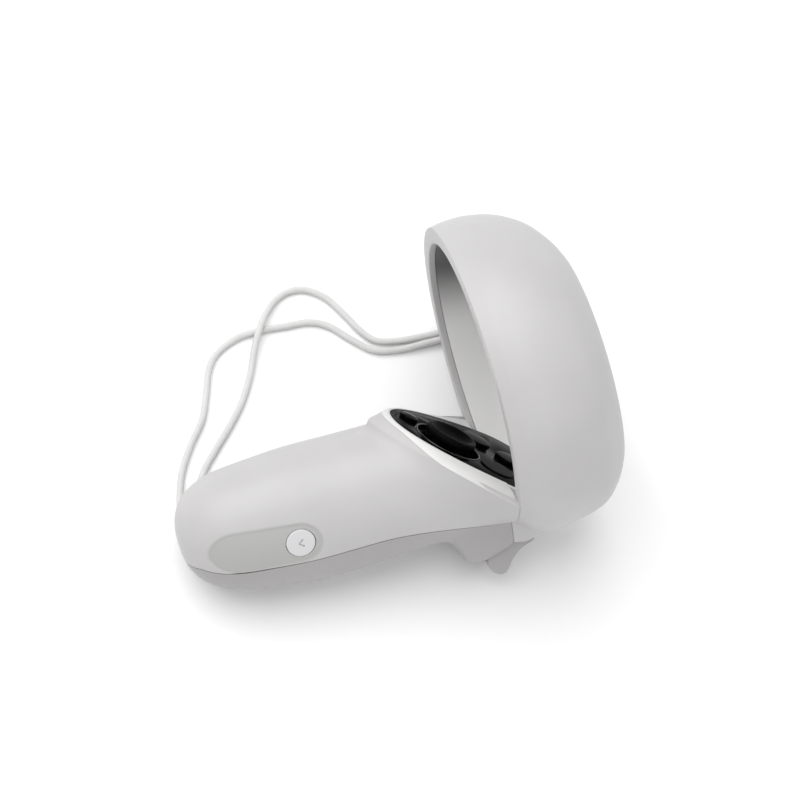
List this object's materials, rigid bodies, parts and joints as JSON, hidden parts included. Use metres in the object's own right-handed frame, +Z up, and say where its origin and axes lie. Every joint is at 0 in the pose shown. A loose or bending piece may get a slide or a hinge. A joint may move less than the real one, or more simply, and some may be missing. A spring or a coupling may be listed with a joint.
{
  "type": "vr motion controller",
  "caption": "Hand-held motion controller for virtual reality: a rounded grip under a wide tracking ring, with a tilted thumb face, triggers and a thin wrist cord.",
  "frame": {"origin": "centre of the controller's footprint on the table it leans on, without the wrist cord", "axes": "+X from the butt of the grip towards the ring along the table, +Z up from the table"},
  "size_m": [0.1224, 0.1006, 0.0879],
  "materials": {
    "shell_white": "fine satin texture",
    "shell_grey": "fine satin texture",
    "bore_white": "smooth satin",
    "face_black": "polished black",
    "gloss_black": "polished black",
    "soft_black": "matte rubber",
    "flex_film": "film",
    "emitter": "clear dark lens",
    "chassis_black": "matte",
    "board_green": "solder mask",
    "cell_wrap": "plain wrap",
    "spring_steel": "bright",
    "motor_steel": "satin",
    "disc_white": "satin",
    "screw_black": "black oxide",
    "cord_fabric": "fine braid",
    "lock_grey": "satin"
  },
  "bodies": {
    "frame": {"lower_shell": "shell_grey", "face_collar": "shell_white", "face_plate": "face_black", "ring_outer_shell": "shell_white", "ring_inner_shell": "bore_white", "led_flex": "flex_film", "led_emitters": "emitter", "chassis": "chassis_black", "main_board": "board_green", "control_board": "board_green", "aa_cell": "cell_wrap", "battery_spring": "spring_steel", "battery_contact": "spring_steel", "haptic_motor": "motor_steel", "stick_base": "chassis_black", "stick_boot": "soft_black", "button_membrane": "soft_black", "thumb_rest": "soft_black", "trigger_pin": "spring_steel", "trigger_spring": "spring_steel", "grip_bracket": "chassis_black", "grip_pin": "spring_steel", "grip_spring": "spring_steel", "shell_screws": "screw_black", "strap_bar": "shell_grey", "strap_cord": "cord_fabric"},
    "cover": {"palm_cover": "shell_white"},
    "disc": {"release_disc": "disc_white"},
    "yoke": {"stick_yoke": "chassis_black"},
    "stick": {"stick_stem": "chassis_black"},
    "cap": {"stick_cap": "soft_black"},
    "a_button": {"button_a": "gloss_black"},
    "b_button": {"button_b": "gloss_black"},
    "menu": {"menu_button": "gloss_black"},
    "trigger": {"trigger": "shell_grey"},
    "grip": {"grip_button": "shell_grey"},
    "lock": {"cord_lock": "lock_grey"},
    "lock_pin": {"lock_button": "lock_grey"}
  },
  "joints": [
    {"name": "cover_release", "type": "slide", "parent": "frame", "child": "cover", "axis": [-0.8254, 0.4754, 0.3046], "range_m": [0, 0.025]},
    {"name": "disc_press", "type": "slide", "parent": "cover", "child": "disc", "axis": [0.1144, 0.6984, -0.7065], "range_m": [0, 0.0006], "stiffness_N_per_m": 600, "springref_m": -0.0015},
    {"name": "stick_tilt_fore", "type": "hinge", "parent": "frame", "child": "yoke", "pos_m": [0.01101, -0.0153, 0.02982], "axis": [0.1183, 0.673, -0.7301], "range_deg": [-10, 10], "stiffness_Nm_per_rad": 0.03},
    {"name": "stick_tilt_side", "type": "hinge", "parent": "yoke", "child": "stick", "pos_m": [0.01101, -0.0153, 0.02982], "axis": [0.8254, -0.4754, -0.3046], "range_deg": [-10, 10], "stiffness_Nm_per_rad": 0.03},
    {"name": "stick_click", "type": "slide", "parent": "stick", "child": "cap", "axis": [-0.5521, -0.5666, -0.6117], "range_m": [0, 0.0005], "stiffness_N_per_m": 1500, "springref_m": -0.001},
    {"name": "button_a_press", "type": "slide", "parent": "frame", "child": "a_button", "axis": [-0.5521, -0.5666, -0.6117], "range_m": [0, 0.0008], "stiffness_N_per_m": 500, "springref_m": -0.001},
    {"name": "button_b_press", "type": "slide", "parent": "frame", "child": "b_button", "axis": [-0.5521, -0.5666, -0.6117], "range_m": [0, 0.0008], "stiffness_N_per_m": 500, "springref_m": -0.001},
    {"name": "menu_press", "type": "slide", "parent": "frame", "child": "menu", "axis": [-0.5521, -0.5666, -0.6117], "range_m": [0, 0.0006], "stiffness_N_per_m": 500, "springref_m": -0.001},
    {"name": "trigger_pull", "type": "hinge", "parent": "frame", "child": "trigger", "pos_m": [0.02541, -0.02719, 0.01709], "axis": [0.1183, 0.673, -0.7301], "range_deg": [0, 12], "stiffness_Nm_per_rad": 0.12, "springref_deg": -14.32},
    {"name": "grip_squeeze", "type": "hinge", "parent": "frame", "child": "grip", "pos_m": [0.0038, -0.0189, 0.00855], "axis": [0.0269, 0.9857, -0.1663], "range_deg": [0, 5], "stiffness_Nm_per_rad": 0.15, "springref_deg": -14.32},
    {"name": "lock_slide", "type": "slide", "parent": "frame", "child": "lock", "axis": [1, 0, 0], "range_m": [-0.004, 0.004]},
    {"name": "lock_press", "type": "slide", "parent": "lock", "child": "lock_pin", "axis": [0, -1, 0], "range_m": [0, 0.0008], "stiffness_N_per_m": 300, "springref_m": -0.001}
  ]
}
